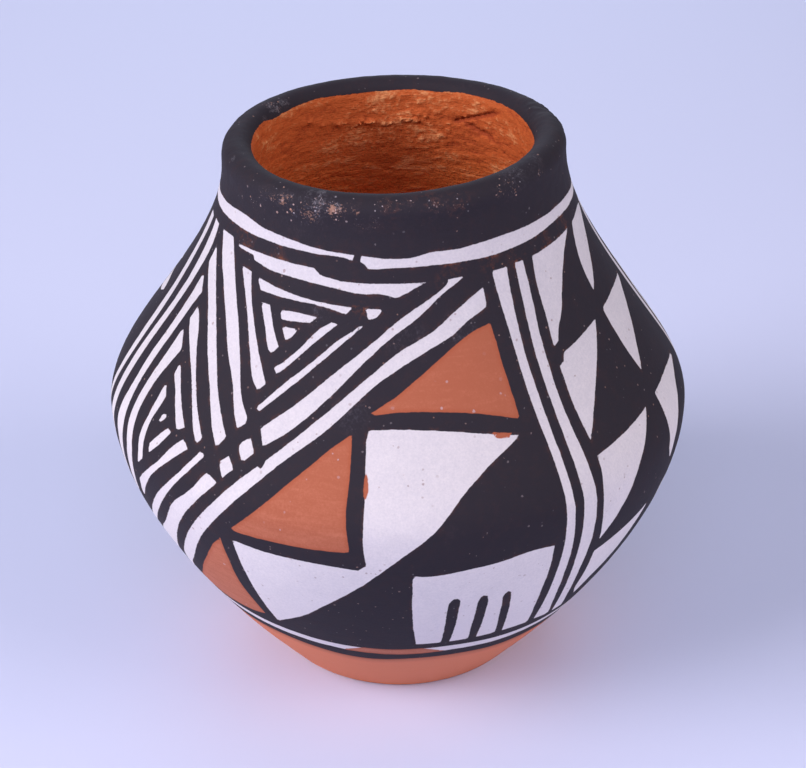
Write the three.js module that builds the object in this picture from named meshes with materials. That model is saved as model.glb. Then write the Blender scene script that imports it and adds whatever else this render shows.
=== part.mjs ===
// A small coil-built clay jar, as its potter makes it: a pat of clay for the base, rings of
// coiled clay lapped one on another up to the lip, and three thin coats over the outside.
// Millimetres, +Z up. The jar stands on z = 0 and its axis is the Z axis.
import * as THREE from 'three';

// Outline of the outside, from the foot up
const footRadius = 18.2;
const bellyRadius = 40.1;
const bellyHeight = 40;
const neckRadius = 22.6;
const jarHeight = 78.3;

// Fullness of the outline: how far each end of a curve holds its first direction
const footHandleOut = 4.8;
const footHandleUp = 6;
const bellyHandleBelow = 14.5;
const bellyHandleAbove = 7.5;
const neckHandle = 15.1;

// Thickness of the clay and of the coats
const wallThickness = 4.6;
const floorThickness = 6.5;
const coatThickness = 0.3;

// Roundings and laps
const footEdge = 0.8;
const floorFillet = 4;
const lapLength = 3.5;

// Widths of the coats: the orange up from the foot, and the black down from the lip
const underbodyHeight = 12.6;
const rimBandDepth = 7.2;

// Fineness of the meshes
const sidesAround = 48;
const lipSteps = 6;
const filletSteps = 3;
const stationPitch = 4.5;

// Rings of clay, from the base up
const coilNames = [
  'lower_wall_coil_1',
  'lower_wall_coil_2',
  'lower_wall_coil_3',
  'lower_wall_coil_4',
  'belly_coil',
  'shoulder_coil_1',
  'shoulder_coil_2',
  'shoulder_coil_3',
  'neck_coil',
  'rim_coil',
];

const finishes = {
  bareClay: { color: 0xa8562a, roughness: 0.95, metalness: 0 },
  orangeSlip: { color: 0xc0663f, roughness: 0.7, metalness: 0 },
  whiteSlip: { color: 0xd9d3d6, roughness: 0.75, metalness: 0 },
  blackPaint: { color: 0x2b262b, roughness: 0.8, metalness: 0 },
};

// The outside is two curves that meet upright at the belly. The wall ends under the lip, which
// is a half round as thick as the wall.
function outsideCurve() {
  const wallTop = jarHeight - wallThickness / 2;
  const curve = new THREE.CurvePath();
  curve.add(new THREE.CubicBezierCurve(
    new THREE.Vector2(footRadius, 0),
    new THREE.Vector2(footRadius + footHandleOut, footHandleUp),
    new THREE.Vector2(bellyRadius, bellyHeight - bellyHandleBelow),
    new THREE.Vector2(bellyRadius, bellyHeight),
  ));
  curve.add(new THREE.CubicBezierCurve(
    new THREE.Vector2(bellyRadius, bellyHeight),
    new THREE.Vector2(bellyRadius, bellyHeight + bellyHandleAbove),
    new THREE.Vector2(neckRadius, wallTop - neckHandle),
    new THREE.Vector2(neckRadius, wallTop),
  ));
  return curve;
}

const outside = outsideCurve();
const outsideLength = outside.getLength();

// A point of the wall: how far along the outside it is, and how deep under the surface
function wallPoint(along, depth) {
  const share = THREE.MathUtils.clamp(along / outsideLength, 0, 1);
  const surface = outside.getPoint(share);
  const tangent = outside.getTangent(share);
  return new THREE.Vector2(surface.x - tangent.y * depth, surface.y + tangent.x * depth);
}

// The distance along the outside at which the wall, at one depth, reaches a height
function alongAtHeight(height, depth) {
  let low = 0;
  let high = outsideLength;
  while (high - low > 1e-6) {
    const middle = (low + high) / 2;
    if (wallPoint(middle, depth).y < height) low = middle;
    else high = middle;
  }
  return (low + high) / 2;
}

const underbodyFrom = footEdge;
const underbodyTo = alongAtHeight(underbodyHeight, 0);
const whiteSlipTo = alongAtHeight(jarHeight - rimBandDepth, 0);
const bellyAt = outside.curves[0].getLength();
const floorMeetsWall = alongAtHeight(floorThickness, wallThickness);

// Where each ring of clay begins on the outside. Inside, it begins lower, by the lap.
const firstJoint = floorMeetsWall + floorFillet / 2 + lapLength;
const coilHeight = (outsideLength - firstJoint) / coilNames.length;
const joints = coilNames.map((name, i) => firstJoint + i * coilHeight);
const laps = joints.map((joint) => joint - lapLength);

// Every piece takes its points from the same stations, so pieces that touch share their points
function allStations() {
  const ends = [underbodyFrom, underbodyTo, bellyAt, whiteSlipTo, outsideLength];
  const fixed = [...ends, ...joints, ...laps].sort((a, b) => a - b);
  const stations = [];
  for (let i = 0; i < fixed.length - 1; i += 1) {
    const gap = fixed[i + 1] - fixed[i];
    const steps = Math.ceil(gap / stationPitch);
    for (let k = 0; k < steps; k += 1) stations.push(fixed[i] + gap * k / steps);
  }
  stations.push(fixed[fixed.length - 1]);
  return stations;
}

const stations = allStations();

// The wall's points from one place to another, at one depth, in the order asked for
function wallRun(from, to, depth) {
  const low = Math.min(from, to);
  const high = Math.max(from, to);
  const run = stations.filter((along) => along >= low && along <= high);
  if (from > to) run.reverse();
  return run.map((along) => wallPoint(along, depth));
}

// The half round of the lip, from the outside to the inside
function lipRun(radius) {
  const centre = wallPoint(outsideLength, wallThickness / 2);
  const run = [];
  for (let i = 0; i <= lipSteps; i += 1) {
    const turn = Math.PI * i / lipSteps;
    run.push(new THREE.Vector2(centre.x + radius * Math.cos(turn), centre.y + radius * Math.sin(turn)));
  }
  return run;
}

// A rounded corner of a profile
function roundedCorner(start, corner, end) {
  return new THREE.QuadraticBezierCurve(start, corner, end).getPoints(filletSteps);
}

function dropRepeats(profile) {
  return profile.filter((point, i) => i === 0 || point.distanceTo(profile[i - 1]) > 1e-4);
}

// Turns a profile, which goes anticlockwise round its section, about the jar's axis
function turned(name, profile, finish) {
  const geometry = new THREE.LatheGeometry(dropRepeats(profile), sidesAround);
  geometry.rotateX(Math.PI / 2);
  const mesh = new THREE.Mesh(geometry, new THREE.MeshStandardMaterial(finish));
  mesh.name = name;
  return mesh;
}

// The flat pat that the jar stands on. Its edge rises into the wall and ends in the first lap.
function basePat() {
  const footCorner = new THREE.Vector2(footRadius, 0);
  const footStart = new THREE.Vector2(footRadius - footEdge, 0);
  const floorCorner = wallPoint(floorMeetsWall, wallThickness);
  const floorStart = new THREE.Vector2(floorCorner.x - floorFillet, floorThickness);
  const profile = [
    new THREE.Vector2(0, 0),
    ...roundedCorner(footStart, footCorner, wallPoint(underbodyFrom, 0)),
    ...wallRun(underbodyFrom, joints[0], coatThickness),
    ...roundedCorner(wallPoint(laps[0], wallThickness), floorCorner, floorStart),
    new THREE.Vector2(0, floorThickness),
  ];
  return turned('base_pat', profile, finishes.bareClay);
}

// One ring of clay. Its lower edge laps inside the ring below and its upper edge is lapped in turn.
function wallCoil(index) {
  const profile = [
    ...wallRun(joints[index], joints[index + 1], coatThickness),
    ...wallRun(laps[index + 1], laps[index], wallThickness),
  ];
  profile.push(profile[0].clone());
  return turned(coilNames[index], profile, finishes.bareClay);
}

// The last ring, which ends in the round lip and is let in by the paint's thickness
function rimCoil(index) {
  const profile = [
    ...wallRun(joints[index], outsideLength, coatThickness),
    ...lipRun(wallThickness / 2 - coatThickness),
    ...wallRun(outsideLength, laps[index], wallThickness),
  ];
  profile.push(profile[0].clone());
  return turned(coilNames[index], profile, finishes.bareClay);
}

// A coat on the outside between two places on the wall
function outsideCoat(name, from, to, finish) {
  const profile = [...wallRun(from, to, 0), ...wallRun(to, from, coatThickness)];
  profile.push(profile[0].clone());
  return turned(name, profile, finish);
}

// The black paint of the neck, which goes over the lip to where the inside of the wall begins
function rimPaint() {
  const profile = [
    ...wallRun(whiteSlipTo, outsideLength, 0),
    ...lipRun(wallThickness / 2),
    ...lipRun(wallThickness / 2 - coatThickness).reverse(),
    ...wallRun(outsideLength, whiteSlipTo, coatThickness),
  ];
  profile.push(profile[0].clone());
  return turned('black_rim_paint', profile, finishes.blackPaint);
}

const jar = new THREE.Group();
jar.name = 'clay_jar';
jar.add(basePat());
const rimIndex = coilNames.length - 1;
for (let i = 0; i < rimIndex; i += 1) jar.add(wallCoil(i));
jar.add(rimCoil(rimIndex));
jar.add(outsideCoat('orange_underbody_slip', underbodyFrom, underbodyTo, finishes.orangeSlip));
jar.add(outsideCoat('white_slip', underbodyTo, whiteSlipTo, finishes.whiteSlip));
jar.add(rimPaint());

export default jar;
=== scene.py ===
# A small clay jar built of coils, slipped white and orange and painted, on a pale studio floor.
# The sections follow the jar as its potter makes it. Sizes are in millimetres unless said.
import math

import bpy
import numpy as np
from mathutils import Matrix, Vector


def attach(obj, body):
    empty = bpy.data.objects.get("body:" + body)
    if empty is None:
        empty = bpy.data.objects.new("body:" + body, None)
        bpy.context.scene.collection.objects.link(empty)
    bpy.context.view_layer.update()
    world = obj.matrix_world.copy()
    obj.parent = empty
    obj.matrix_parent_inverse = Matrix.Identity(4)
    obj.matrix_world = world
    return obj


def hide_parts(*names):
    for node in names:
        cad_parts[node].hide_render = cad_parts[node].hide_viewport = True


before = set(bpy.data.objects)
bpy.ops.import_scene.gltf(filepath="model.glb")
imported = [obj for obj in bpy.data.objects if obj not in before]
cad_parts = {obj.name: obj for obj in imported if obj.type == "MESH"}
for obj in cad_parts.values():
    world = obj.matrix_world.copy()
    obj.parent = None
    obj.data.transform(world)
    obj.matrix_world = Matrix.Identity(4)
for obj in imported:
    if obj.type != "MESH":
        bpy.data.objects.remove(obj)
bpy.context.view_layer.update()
scene = bpy.context.scene

# The studio: a pale lavender floor, a large soft light on the left, one half as strong on the
# right, two weak ones in front and behind, and a dim pale room. The camera looks thirty degrees
# down on the jar from a quarter of a metre away, turned by a hair about its line of sight.
camera_drop = math.radians(30)
camera_roll = math.radians(-0.39)
camera_away = 0.268
camera_aim = Vector((0.00065, 0, 0.03911))
camera_lens = 85.06
camera_sensor = 36
floor_half = 1.6
floor_colour = (0.60, 0.63, 0.86, 1)
floor_roughness = 0.7
room_colour = (0.90, 0.97, 1.0, 1)
room_strength = 0.215
light_width = 0.5
light_away = 0.9
light_aim = Vector((0, 0, 0.03))
stand_base = Vector((0, 0, 0.04))

backward = Vector((0, -math.cos(camera_drop), math.sin(camera_drop)))
level = Vector((1, 0, 0))
upright = backward.cross(level)
camera_right = math.cos(camera_roll) * level + math.sin(camera_roll) * upright
camera_up = math.cos(camera_roll) * upright - math.sin(camera_roll) * level
camera = bpy.data.objects.new("camera", bpy.data.cameras.new("camera"))
camera.data.sensor_width = camera_sensor
camera.data.lens = camera_lens
camera.data.clip_start = 0.02
camera.data.clip_end = 20
camera_place = camera_aim + camera_away * backward
camera.matrix_world = Matrix((
    (camera_right.x, camera_up.x, backward.x, camera_place.x),
    (camera_right.y, camera_up.y, backward.y, camera_place.y),
    (camera_right.z, camera_up.z, backward.z, camera_place.z), (0, 0, 0, 1),
))
scene.collection.objects.link(camera)
scene.camera = camera
scene.view_settings.view_transform = "Standard"


def soft_light(name, turn, climb, power, colour):
    """A square light on a stand, turned so many degrees round from the camera and raised so many."""
    turn = math.radians(turn)
    climb = math.radians(climb)
    outward = Vector((math.sin(turn) * math.cos(climb), -math.cos(turn) * math.cos(climb), math.sin(climb)))
    place = stand_base + light_away * outward
    lamp = bpy.data.lights.new(name, "AREA")
    lamp.shape = "SQUARE"
    lamp.size = light_width
    lamp.energy = power
    lamp.color = colour
    holder = bpy.data.objects.new(name, lamp)
    towards = light_aim - place
    holder.matrix_world = Matrix.Translation(place) @ towards.to_track_quat("-Z", "Y").to_matrix().to_4x4()
    scene.collection.objects.link(holder)


soft_light("left_light", -65, 32, 8.1, (1.0, 0.945, 0.96))
soft_light("right_light", 65, 32, 4.0, (1.0, 0.89, 0.84))
soft_light("front_light", 0, 45, 2.0, (0.70, 0.70, 1.0))
soft_light("back_light", 180, 20, 2.5, (0.72, 0.80, 1.0))

room = bpy.data.worlds.new("room")
room.use_nodes = True
room.node_tree.nodes["Background"].inputs["Color"].default_value = room_colour
room.node_tree.nodes["Background"].inputs["Strength"].default_value = room_strength
scene.world = room

floor_mesh = bpy.data.meshes.new("floor")
floor_corners = [(floor_half * x, floor_half * y, 0) for x, y in ((-1, -1), (1, -1), (1, 1), (-1, 1))]
floor_mesh.from_pydata(floor_corners, [], [(0, 1, 2, 3)])
floor = bpy.data.objects.new("floor", floor_mesh)
scene.collection.objects.link(floor)
floor_finish = bpy.data.materials.new("pale_floor")
floor_finish.use_nodes = True
floor_finish.node_tree.nodes["Principled BSDF"].inputs["Base Color"].default_value = floor_colour
floor_finish.node_tree.nodes["Principled BSDF"].inputs["Roughness"].default_value = floor_roughness
floor_mesh.materials.append(floor_finish)


# The base pat: a flat pat of clay with its edge pressed up into the wall. It is bare on the
# floor inside and underneath, where it stands. Every piece of the jar is turned from its
# section by the same rule, leans with the jar and carries the marks of the same hands.
mm = 0.001
foot_radius = 18.2
belly_radius = 40.0
belly_height = 40.0
neck_radius = 22.55
wall_top = 75.36
foot_pulls = (4.8, 6.0)
belly_pulls = (14.5, 7.5)
neck_pull = 14.9
wall_thickness = 4.6
lip_thickness = 4.15
thinning_below_lip = 18
thinning_length = 14
coat_thickness = 0.3
floor_thickness = 6.5
foot_edge = 0.8
floor_fillet = 4.0
floor_meets_wall = 4.75
lap_length = 3.5
first_joint = 10.1
coil_count = 10
side_lean = -0.80 / 76
outline_steps = 600
columns = 480
same_place = 0.01


def bow(start, first_pull, second_pull, end):
    share = np.linspace(0, 1, outline_steps)[:, None]
    rest = 1 - share
    first_half = rest**3 * np.array(start) + 3 * rest**2 * share * np.array(first_pull)
    return first_half + 3 * rest * share**2 * np.array(second_pull) + share**3 * np.array(end)


outline = np.concatenate([
    bow((foot_radius, 0), (foot_radius + foot_pulls[0], foot_pulls[1]),
        (belly_radius, belly_height - belly_pulls[0]), (belly_radius, belly_height)),
    bow((belly_radius, belly_height), (belly_radius, belly_height + belly_pulls[1]),
        (neck_radius, wall_top - neck_pull), (neck_radius, wall_top))[1:],
])
outline_way = np.gradient(outline, axis=0)
outline_way /= np.linalg.norm(outline_way, axis=1)[:, None]
outline_along = np.concatenate([[0], np.cumsum(np.linalg.norm(np.diff(outline, axis=0), axis=1))])
outline_length = outline_along[-1]
coil_joints = np.linspace(first_joint, outline_length, coil_count + 1)


def along_at_height(height):
    return float(np.interp(height, outline[:, 1], outline_along))


def thickness_at(along):
    thinning = np.clip((along - outline_length + thinning_below_lip) / thinning_length, 0, 1)
    return wall_thickness + (lip_thickness - wall_thickness) * thinning


# A run of a section is rows of: radius, height, the way it faces, and how far it is dressed
# on the outside or left bare on the inside. Hidden faces are neither.
def wall_run(start, stop, pitch, depth, dressed=0.0, bare=0.0):
    steps = max(1, math.ceil(abs(stop - start) / pitch))
    along = np.linspace(start, stop, steps + 1)
    inside = depth is None
    deep = thickness_at(along) if inside else np.full(steps + 1, depth)
    way_out = np.interp(along, outline_along, outline_way[:, 0])
    way_up = np.interp(along, outline_along, outline_way[:, 1])
    radius = np.interp(along, outline_along, outline[:, 0]) - way_up * deep
    height = np.interp(along, outline_along, outline[:, 1]) + way_out * deep
    sign = -1 if inside else 1
    return np.stack([radius, height, sign * way_up, -sign * way_out,
                     np.full(steps + 1, dressed), np.full(steps + 1, bare)], axis=1)


def wall_point(along, depth):
    return wall_run(along, along, 1, depth)[0, :2]


def rounded_corner(start, corner, end, steps, face_start, face_end, bare=0.0):
    share = np.linspace(0, 1, steps + 1)[:, None]
    start, corner, end = map(np.array, (start, corner, end))
    points = (1 - share) ** 2 * start + 2 * share * (1 - share) * corner + share**2 * end
    faces = (1 - share) * np.array(face_start) + share * np.array(face_end)
    faces /= np.linalg.norm(faces, axis=1)[:, None]
    return np.hstack([points, faces, np.zeros((steps + 1, 1)), np.full((steps + 1, 1), bare)])


def is_triple(value):
    if isinstance(value, Link):
        return value.socket.type in ("VECTOR", "RGBA")
    return isinstance(value, tuple)


class Link:
    """One output of a node, which sums can be done with."""

    def __init__(self, bench, socket):
        self.bench = bench
        self.socket = socket

    def __getitem__(self, name):
        return Link(self.bench, self.socket.node.outputs[name])

    def reckon(self, operation, first, second=None):
        values = {0: first} if second is None else {0: first, 1: second}
        triple = [is_triple(value) for value in values.values()]
        if not any(triple):
            return self.bench.node("ShaderNodeMath", {"operation": operation}, values)
        if operation == "MULTIPLY" and not all(triple):
            whole, part = (first, second) if triple[0] else (second, first)
            return self.bench.node("ShaderNodeVectorMath", {"operation": "SCALE"}, {0: whole, "Scale": part})
        return self.bench.node("ShaderNodeVectorMath", {"operation": operation}, values)

    def __add__(self, other):
        return self.reckon("ADD", self, other)

    def __radd__(self, other):
        return self.reckon("ADD", other, self)

    def __sub__(self, other):
        return self.reckon("SUBTRACT", self, other)

    def __rsub__(self, other):
        return self.reckon("SUBTRACT", other, self)

    def __mul__(self, other):
        return self.reckon("MULTIPLY", self, other)

    def __rmul__(self, other):
        return self.reckon("MULTIPLY", other, self)

    def __truediv__(self, other):
        return self.reckon("DIVIDE", self, other)

    def __neg__(self):
        return self.reckon("MULTIPLY", self, -1.0)

    def __abs__(self):
        return self.reckon("ABSOLUTE", self)

    def least(self, other):
        return self.reckon("MINIMUM", self, other)

    def most(self, other):
        return self.reckon("MAXIMUM", self, other)

    def sine(self):
        return self.reckon("SINE", self)

    def cosine(self):
        return self.reckon("COSINE", self)

    def rising(self, low, high):
        """Nought below low and one above high, with a smooth rise between."""
        return self.bench.node("ShaderNodeMapRange", {"interpolation_type": "SMOOTHSTEP"},
                               {"Value": self, "From Min": low, "From Max": high})

    def near(self, middle, reach):
        """One at the middle, and smoothly nought at the reach from it."""
        return 1 - abs(self - middle).rising(0.0, reach)


class Bench:
    """A node tree, and the one way to put a node on it."""

    def __init__(self, tree):
        self.tree = tree

    def node(self, kind, settings=None, values=None, output=0):
        made = self.tree.nodes.new(kind)
        for name, setting in (settings or {}).items():
            setattr(made, name, setting)
        for name, value in (values or {}).items():
            if isinstance(value, Link):
                self.tree.links.new(value.socket, made.inputs[name])
            else:
                made.inputs[name].default_value = value
        return Link(self, made.outputs[output]) if len(made.outputs) else None

    def noise(self, place, scale, detail=2.0, roughness=0.5, distortion=0.0):
        """Noise about nought, from about minus one to one."""
        made = self.node("ShaderNodeTexNoise", None, {"Vector": place, "Scale": scale, "Detail": detail,
                                                      "Roughness": roughness, "Distortion": distortion})
        return made * 2.0 - 1.0

    def mixed(self, first, second, share):
        return self.node("ShaderNodeMix", {"data_type": "RGBA"}, {0: share, 6: first, 7: second}, output=2)

    def attribute(self, name, kind="FLOAT"):
        if self.tree.type == "SHADER":
            return self.node("ShaderNodeAttribute", {"attribute_name": name}, output="Fac")
        return self.node("GeometryNodeInputNamedAttribute", {"data_type": kind}, {"Name": name})

    def stored(self, geometry, name, value, kind="FLOAT"):
        return self.node("GeometryNodeStoreNamedAttribute", {"data_type": kind, "domain": "POINT"},
                         {"Geometry": geometry, "Name": name, "Value": value})


# The rule that turns a section into a piece. Outside, the clay is a little uneven. Inside, it
# keeps the streaks of wiping, and the ridge, crumbs and crack of the last lap. Turns on the
# inside are counted through the back, where half a turn is straight behind.
lip_rise = 0.95
unevenness = 0.14
wipe_marks = 0.38
lap_ridge = 0.60
crumbly_turn = 165.0
crumbly_height = 71.0
ridge_turn = 196.0
ridge_lowest_turn = 187.0
ridge_lowest_height = 71.3
ridge_half_width = 1.0
crack_turn = 142.0
crack_end_turn = 154.0
crack_height = 71.7
crack_fall = 0.126
branch_end_turn = 138.0
branch_height = 70.7
branch_rise = 0.105
crack_half_width = 0.42
knob_turn = 108.0
knob_reach = 20.0
full_shoulder_height = 61.0
flat_belly_height = 46.0
corner_angle = 0.9

turning = bpy.data.node_groups.new("hand_turned_clay", "GeometryNodeTree")
turning.is_modifier = True
turning_inputs = {}
for input_name, input_kind in [
    ("Section", "NodeSocketGeometry"), ("Columns", "NodeSocketInt"), ("Finish", "NodeSocketMaterial"),
    ("Side lean", "NodeSocketFloat"), ("Lip rise", "NodeSocketFloat"), ("Unevenness", "NodeSocketFloat"),
    ("Wipe marks", "NodeSocketFloat"), ("Lap ridge", "NodeSocketFloat"),
]:
    made_input = turning.interface.new_socket(input_name, in_out="INPUT", socket_type=input_kind)
    turning_inputs[input_name] = made_input.identifier
turning.interface.new_socket("Clay", in_out="OUTPUT", socket_type="NodeSocketGeometry")

bench = Bench(turning)
given = bench.node("NodeGroupInput")


def wiping_streaks(bench, place):
    return bench.noise(place * (1.0, 1.0, 4.0), 260.0, 4.0, 0.66, 0.7)


def parts_of(bench, triple):
    return bench.node("ShaderNodeSeparateXYZ", None, {"Vector": triple})


section_line = bench.node("GeometryNodeMeshToCurve", None, {"Mesh": given["Section"]})
own_place = bench.node("GeometryNodeInputPosition")
section_line = bench.stored(section_line, "section", own_place, "FLOAT_VECTOR")
ring_line = bench.node("GeometryNodeCurvePrimitiveCircle", None,
                       {"Resolution": given["Columns"], "Radius": 1.0})
ring_line = bench.stored(ring_line, "turn", bench.node("GeometryNodeSplineParameter", output="Factor"))
swept = bench.node("GeometryNodeCurveToMesh", None, {"Curve": ring_line, "Profile Curve": section_line})

# The turn begins at the back, so that the seam of the piece's own map lies there.
section_place = parts_of(bench, bench.attribute("section", "FLOAT_VECTOR"))
facing = parts_of(bench, bench.attribute("facing", "FLOAT_VECTOR"))
angle = bench.attribute("turn") * (2 * math.pi) - math.pi
radius = section_place["X"]
height = section_place["Z"]
height_mm = height / mm
plain_place = bench.node("ShaderNodeCombineXYZ", None, {
    "X": radius * angle.sine(), "Y": -(radius * angle.cosine()), "Z": height})
degrees = bench.attribute("turn") * 360.0 - 180.0
back_degrees = degrees + 360.0 * (1 - degrees.rising(-0.01, 0.01))

dents = bench.noise(plain_place, 75.0, 1.0) * 0.6 + bench.noise(plain_place, 260.0, 2.0) * 0.3
streaks = wiping_streaks(bench, plain_place)
coarse_streaks = bench.noise(plain_place * (1.0, 1.0, 2.4), 120.0, 2.0, 0.5, 0.8)
crumbs = bench.noise(plain_place * (1.0, 1.0, 2.0), 720.0, 3.0, 0.6, 0.8)
fine_crumbs = bench.noise(plain_place * (1.0, 1.0, 1.6), 1500.0, 2.0, 0.6)
crumbly = height_mm.near(crumbly_height, 7.0) * back_degrees.near(crumbly_turn, 75.0)
crumbly = (crumbly + coarse_streaks * 0.8).rising(0.0, 0.8)
crumbs = (crumbs - 0.02).most(0.0)
from_lowest = back_degrees - ridge_lowest_turn
ridge_height = ridge_lowest_height + from_lowest * from_lowest * 0.0017
ridge_height = ridge_height + bench.noise(plain_place, 330.0, 2.0) * 0.7
ridge = (height_mm - ridge_height).near(0.0, ridge_half_width)
ridge = ridge * back_degrees.near(ridge_turn, 44.0).rising(0.0, 0.5)
ridge = ridge * (0.30 + crumbs * 1.7 + fine_crumbs * 0.3)
wandering = bench.noise(plain_place, 480.0, 2.0) * 0.45
below_crack = height_mm - crack_height + (back_degrees - crack_end_turn) * crack_fall
crack = (below_crack + wandering).near(0.0, crack_half_width)
crack = crack * back_degrees.near(crack_turn, 17.0).rising(0.0, 0.4)
below_branch = height_mm - branch_height - (back_degrees - branch_end_turn) * branch_rise
branch = (below_branch + wandering).near(0.0, crack_half_width)
crack = crack.most(branch * back_degrees.near(crack_turn - 1, 10.0).rising(0.0, 0.4) * 0.8)
inside_marks = streaks * 0.55 + coarse_streaks * 0.3
inside_marks = inside_marks + crumbs * (0.7 + crumbly * 1.3) + fine_crumbs * 0.3
inside_push = inside_marks * given["Wipe marks"] + (ridge - crack) * given["Lap ridge"]
# These marks go to the finish, which paints shade into the hollows and the crack, and highlight onto the
# crests.
marks = inside_marks + ridge * 0.5 - crack * 1.6
knobbly = back_degrees.near(knob_turn, knob_reach)
lip_lumps = bench.noise(plain_place, 330.0, 2.0, 0.6) * height_mm.rising(66.0, 74.0)
outside_push = (dents + lip_lumps * (0.7 + knobbly * 2.6)) * given["Unevenness"]
push = inside_push * bench.attribute("bare") + outside_push * bench.attribute("dressed")

# The lip rises to the right and dips to the left and the back, and the whole jar leans a hair.
rise = 0.58 * angle.sine() + 0.15 * angle.cosine()
rise = rise - 0.13 * (angle * 2.0).cosine() + 0.13 * (angle * 2.0).sine()
fullness = height_mm.near(full_shoulder_height, 13.0) * (0.25 + 0.2 * angle.sine())
flatness = height_mm.near(flat_belly_height, 11.0) * angle.sine().rising(0.2, 1.0) * 0.25
pushed_radius = radius + push * facing["X"] + (fullness - flatness) * mm
pushed_height = height + push * facing["Z"] + rise * height_mm.rising(62.0, 74.0) * given["Lip rise"]
lean = (pushed_height - belly_height * mm) * given["Side lean"] * height_mm.rising(2.0, 20.0)
pushed_place = bench.node("ShaderNodeCombineXYZ", None, {
    "X": pushed_radius * angle.sine() + lean, "Y": -(pushed_radius * angle.cosine()), "Z": pushed_height})
marked = bench.stored(swept, "marks", marks)
placed = bench.node("GeometryNodeSetPosition", None, {"Geometry": marked, "Position": pushed_place})
closed = bench.node("GeometryNodeMergeByDistance", None, {"Geometry": placed, "Distance": 1e-7})
smoothed = bench.node("GeometryNodeSetShadeSmooth", {"domain": "FACE"},
                      {"Geometry": closed, "Shade Smooth": True})
edge_angle = bench.node("GeometryNodeInputMeshEdgeAngle", output="Unsigned Angle")
is_corner = bench.node("FunctionNodeCompare", {"operation": "GREATER_THAN"},
                       {0: edge_angle, 1: corner_angle})
creased = bench.node("GeometryNodeSetShadeSmooth", {"domain": "EDGE"},
                     {"Geometry": smoothed, "Selection": is_corner, "Shade Smooth": False})
realized = bench.node("GeometryNodeRealizeInstances", None, {"Geometry": creased})
turned_out = bench.node("GeometryNodeFlipFaces", None, {"Mesh": realized})
finished = bench.node("GeometryNodeSetMaterial", None, {"Geometry": turned_out, "Material": given["Finish"]})
bench.node("NodeGroupOutput", None, {"Clay": finished})


def values_of(mesh, title, width=1):
    found = np.zeros(len(mesh.vertices) * width, np.float32)
    mesh.attributes[title].data.foreach_get("value" if width == 1 else "vector", found)
    return found if width == 1 else found.reshape(-1, width)


def keep_values(mesh, title, values):
    values = np.asarray(values, np.float32)
    mesh.attributes.new(title, "FLOAT", "POINT").data.foreach_set("value", values)


# The map lays the front and the back half of a piece one above the other.
map_margin = 0.01


def lay_map(mesh):
    turn = values_of(mesh, "turn")
    share = values_of(mesh, "share")
    on_axis = np.hypot(*values_of(mesh, "section", 3)[:, :2].T) < 1e-5
    corners = np.zeros(len(mesh.loops), np.int32)
    mesh.loops.foreach_get("vertex_index", corners)
    starts = np.zeros(len(mesh.polygons), np.int32)
    mesh.polygons.foreach_get("loop_start", starts)
    counts = np.diff(np.append(starts, len(corners)))
    face = np.repeat(np.arange(len(starts)), counts)
    across = turn[corners].astype(float)
    pole = on_axis[corners]
    across[(np.maximum.reduceat(np.where(pole, 0, across), starts)[face] - across > 0.5) & ~pole] += 1
    weight = np.where(pole, 0, 1)
    middle = np.add.reduceat(across * weight, starts) / np.add.reduceat(weight, starts)
    across = np.where(pole, middle[face], across)
    half = np.floor(middle * 2)[face]
    up = share[corners].astype(float)
    up[np.maximum.reduceat(up, starts)[face] - up > 0.5] += 1
    within = 1 - 2 * map_margin
    across = map_margin + within * (across * 2 - half)
    places = np.stack([across, (half + map_margin + within * up) / 2], axis=1)
    mesh.uv_layers.new(name="OFBake").data.foreach_set("uv", places.astype(np.float32).ravel())


def turned_piece(name, rows, finish, closed_section=True):
    """Turns a section about the jar's axis, as a plain mesh with a map of its own."""
    steps = np.hypot(*np.diff(rows[:, :2], axis=0).T)
    rows = rows[np.append(True, steps > same_place)]
    count = len(rows)
    lengths = np.hypot(*np.diff(rows[:, :2], axis=0, append=rows[:1, :2]).T)
    seen = rows[:, 4] + rows[:, 5] > 0
    lengths *= np.where(seen & np.roll(seen, -1), 1.0, 0.1)
    whole = lengths.sum() if closed_section else lengths[:-1].sum()
    share = np.concatenate([[0], np.cumsum(lengths)[:-1]]) / whole
    mesh = bpy.data.meshes.new(name + "_section")
    edges = [(i, i + 1) for i in range(count - 1)] + ([(count - 1, 0)] if closed_section else [])
    mesh.from_pydata([(r * mm, 0, z * mm) for r, z in rows[:, :2]], edges, [])
    for title, values in (("dressed", rows[:, 4]), ("bare", rows[:, 5]), ("share", share)):
        keep_values(mesh, title, values)
    faces = np.stack([rows[:, 2], np.zeros(count), rows[:, 3]], axis=1).astype(np.float32)
    mesh.attributes.new("facing", "FLOAT_VECTOR", "POINT").data.foreach_set("vector", faces.ravel())
    blank = bpy.data.objects.new(name + "_section", mesh)
    scene.collection.objects.link(blank)
    rule = blank.modifiers.new("turning", "NODES")
    rule.node_group = turning
    for title, value in (("Columns", columns), ("Finish", finish), ("Side lean", side_lean),
                         ("Lip rise", lip_rise * mm), ("Unevenness", unevenness * mm),
                         ("Wipe marks", wipe_marks * mm), ("Lap ridge", lap_ridge * mm)):
        rule[turning_inputs[title]] = value
    graph = bpy.context.evaluated_depsgraph_get()
    turned = blank.evaluated_get(graph)
    shaped = bpy.data.meshes.new_from_object(turned, preserve_all_data_layers=True, depsgraph=graph)
    bpy.data.objects.remove(blank)
    bpy.data.meshes.remove(mesh)
    shaped.name = name
    lay_map(shaped)
    piece = bpy.data.objects.new(name, shaped)
    scene.collection.objects.link(piece)
    return piece
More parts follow.
